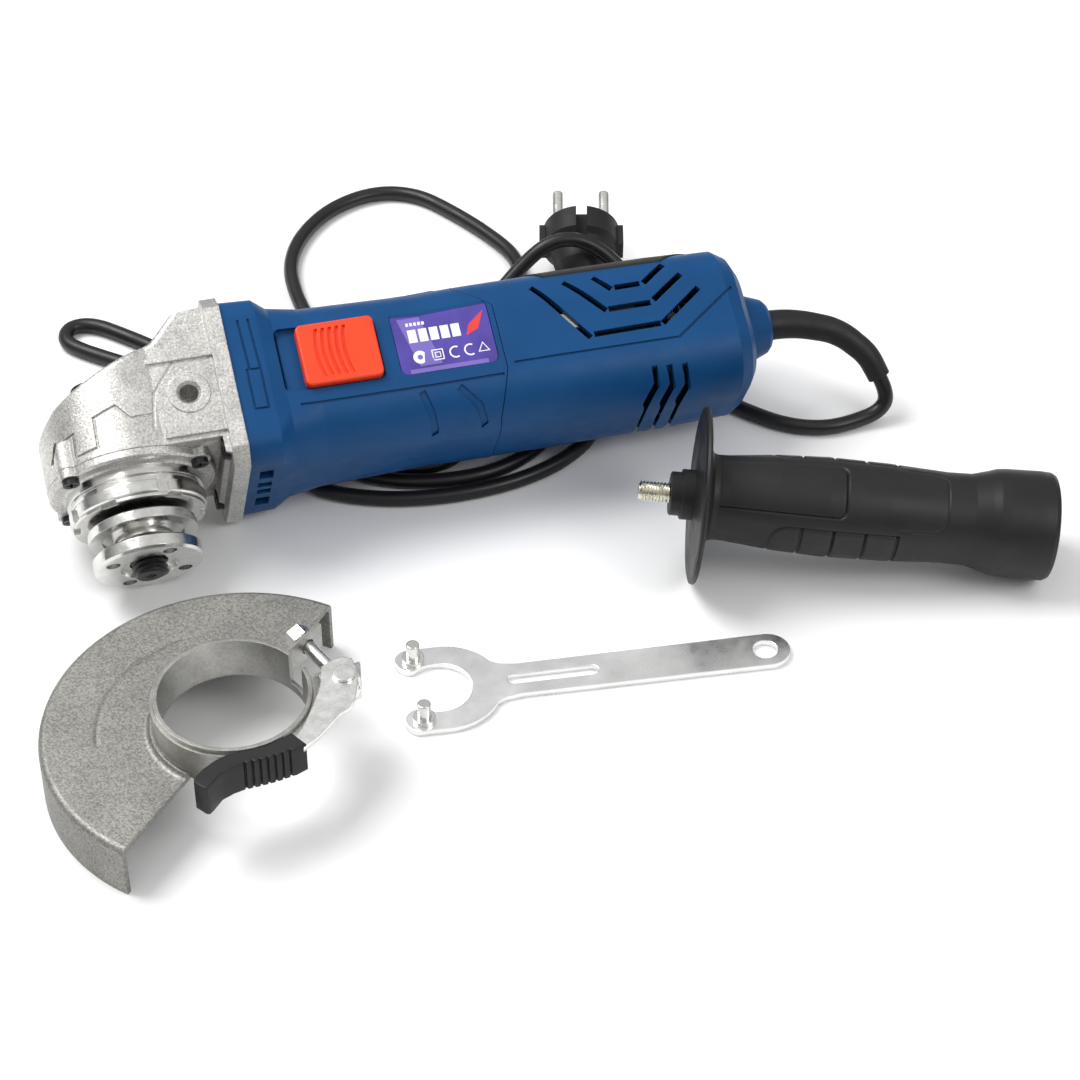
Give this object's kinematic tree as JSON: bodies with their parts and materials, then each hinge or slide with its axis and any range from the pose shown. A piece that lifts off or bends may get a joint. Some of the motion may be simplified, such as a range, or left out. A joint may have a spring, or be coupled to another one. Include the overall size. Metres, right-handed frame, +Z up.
{
  "type": "angle grinder",
  "caption": "Compact corded angle grinder lying with its half-round guard, side handle and pin spanner; sliding switch, spindle lock, bevel drive and motor inside.",
  "frame": {"origin": "centre of the footprint of the grinder and its loose pieces, on the surface they lie on, without the mains lead", "axes": "+Z up from the table; +X runs in plan along the motor axis from the gear head to the cord end; +Y away from the side that the spindle points to"},
  "size_m": [0.3792, 0.3621, 0.0853],
  "materials": {
    "cast_aluminium": "sand-cast, matt",
    "bright_steel": "zinc plated",
    "black_steel": "blackened",
    "blue_shell": "moulded, satin",
    "red_slider": "moulded, satin",
    "black_rubber": "soft overmould",
    "black_plastic": "moulded, textured",
    "label_film": "printed film",
    "copper": "enamelled wire and bars",
    "core_steel": "stacked sheets",
    "natural_plastic": "moulded",
    "carbon": "pressed carbon"
  },
  "bodies": {
    "tool": {"gear_head": "cast_aluminium", "bearing_cover": "bright_steel", "cover_screws": "black_steel", "flange_screws": "black_steel", "spindle_bearing": "bright_steel", "spindle_top_bush": "copper", "bearing_retainer": "bright_steel", "lock_spring": "bright_steel", "front_bearing": "bright_steel", "rear_bearing": "bright_steel", "bearing_boot": "black_rubber", "stator_core": "core_steel", "field_coils": "copper", "motor_housing": "blue_shell", "front_grip": "black_rubber", "rear_cover": "blue_shell", "rear_grip": "black_rubber", "nameplate": "label_film", "switch_block": "black_plastic", "brush_holders": "copper", "carbon_brushes": "carbon", "brush_springs": "bright_steel", "suppressor": "natural_plastic", "cord_clamp": "natural_plastic", "clamp_screws": "bright_steel", "cord": "black_rubber", "cord_inside": "black_rubber", "strain_relief": "black_rubber", "plug_body": "black_rubber", "plug_pins": "bright_steel"},
    "spindle": {"spindle": "black_steel", "crown_gear": "core_steel", "inner_flange": "bright_steel"},
    "nut": {"flange_nut": "bright_steel"},
    "armature": {"armature_shaft": "bright_steel", "armature_core": "core_steel", "armature_winding": "copper", "commutator": "copper", "fan": "black_plastic", "pinion": "core_steel"},
    "switch": {"switch_slider": "red_slider", "switch_rod": "natural_plastic"},
    "lock": {"lock_button": "black_plastic", "lock_pin": "bright_steel"},
    "guard": {"guard_shell": "cast_aluminium", "guard_collar": "bright_steel", "guard_clamp_band": "bright_steel", "guard_clamp_nut": "bright_steel", "guard_clamp_screw": "bright_steel", "guard_lever_bracket": "bright_steel", "guard_lever_rivet": "bright_steel"},
    "lever": {"guard_lever": "bright_steel", "guard_lever_tip": "black_plastic"},
    "side_handle": {"handle_grip": "black_plastic", "handle_stud": "bright_steel"},
    "spanner": {"spanner_plate": "bright_steel", "spanner_pins": "bright_steel"}
  },
  "joints": [
    {"name": "spindle_spin", "type": "hinge", "parent": "tool", "child": "spindle", "pos_m": [-0.1354, 0.07151, 0.0436], "axis": [0.0115, 0.8813, 0.4724], "continuous": true},
    {"name": "armature_spin", "type": "hinge", "parent": "tool", "child": "armature", "pos_m": [-0.1354, 0.07151, 0.0436], "axis": [0.9997, 0, -0.0244], "continuous": true},
    {"name": "nut_unscrew", "type": "slide", "parent": "spindle", "child": "nut", "axis": [-0.0115, -0.8813, -0.4724], "range_m": [0, 0.012]},
    {"name": "switch_slide", "type": "slide", "parent": "tool", "child": "switch", "axis": [-0.9997, 0, 0.0244], "range_m": [0, 0.006]},
    {"name": "lock_press", "type": "slide", "parent": "tool", "child": "lock", "axis": [-0.0115, -0.8813, -0.4724], "range_m": [0, 0.005], "stiffness_N_per_m": 250, "springref_m": -0.003, "deforming": ["lock_spring"]},
    {"name": "guard_lift", "type": "slide", "parent": "tool", "child": "guard", "axis": [0, 0, 1], "range_m": [0, 0.12]},
    {"name": "lever_swing", "type": "hinge", "parent": "guard", "child": "lever", "pos_m": [-0.08489, -0.06944, 0], "axis": [0, 0, 1], "range_deg": [0, 110]},
    {"name": "handle_lift", "type": "slide", "parent": "tool", "child": "side_handle", "axis": [0, 0, 1], "range_m": [0, 0.12]},
    {"name": "spanner_lift", "type": "slide", "parent": "tool", "child": "spanner", "axis": [0, 0, 1], "range_m": [0, 0.12]}
  ],
  "couplings": [
    {"joint": "armature_spin", "follows": "spindle_spin", "ratio": 3.7}
  ]
}
